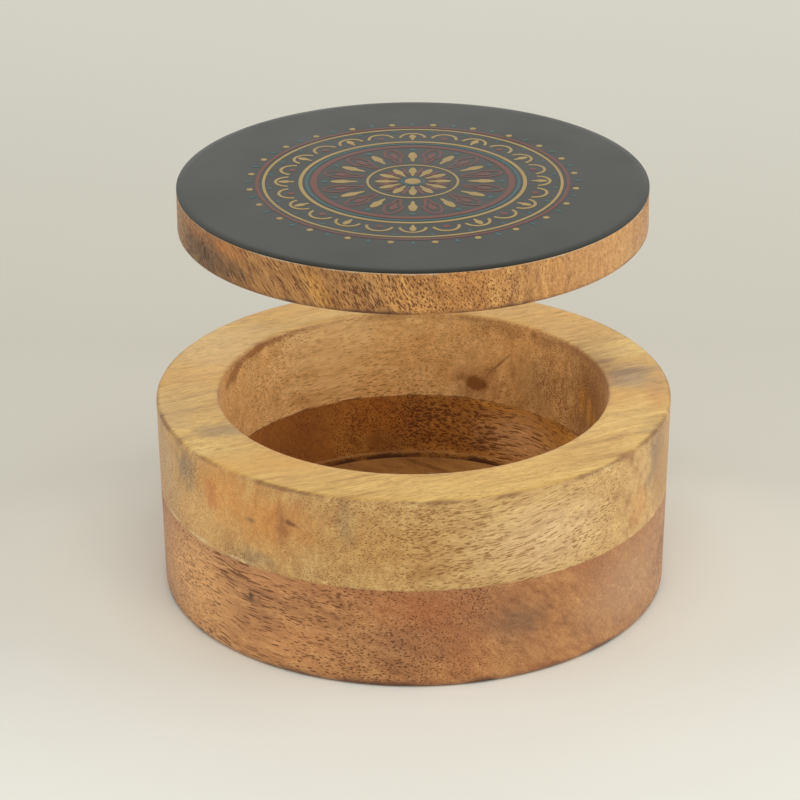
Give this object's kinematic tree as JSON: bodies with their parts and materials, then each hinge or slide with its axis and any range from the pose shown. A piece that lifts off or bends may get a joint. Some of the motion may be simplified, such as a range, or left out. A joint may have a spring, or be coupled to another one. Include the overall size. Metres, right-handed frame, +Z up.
{
  "type": "round lidded box",
  "caption": "Round turned wooden box of two glued woods with a plain bore and a lift-off wooden lid whose flat top is enamelled; holds small things.",
  "frame": {"origin": "centre of the flat underside of the box, on the surface that it stands on", "axes": "+Z up along the turning axis; -Y towards the viewer of the picture; +X to the viewer's right"},
  "size_m": [0.127, 0.127, 0.1043],
  "materials": {
    "red_wood": "sanded and waxed red-brown hardwood",
    "pale_wood": "sanded and waxed pale yellow-tan hardwood",
    "lid_wood": "sanded and waxed golden-brown hardwood",
    "enamel": "satin charcoal enamel coat"
  },
  "bodies": {
    "box": {"lower_bowl": "red_wood", "upper_ring": "pale_wood"},
    "lid": {"lid_board": "lid_wood", "lid_enamel": "enamel", "lid_locating_disc": "lid_wood"}
  },
  "joints": [
    {"name": "lid_lift", "type": "slide", "parent": "box", "child": "lid", "axis": [0, 0, 1], "range_m": [-0.04385, 0]}
  ]
}
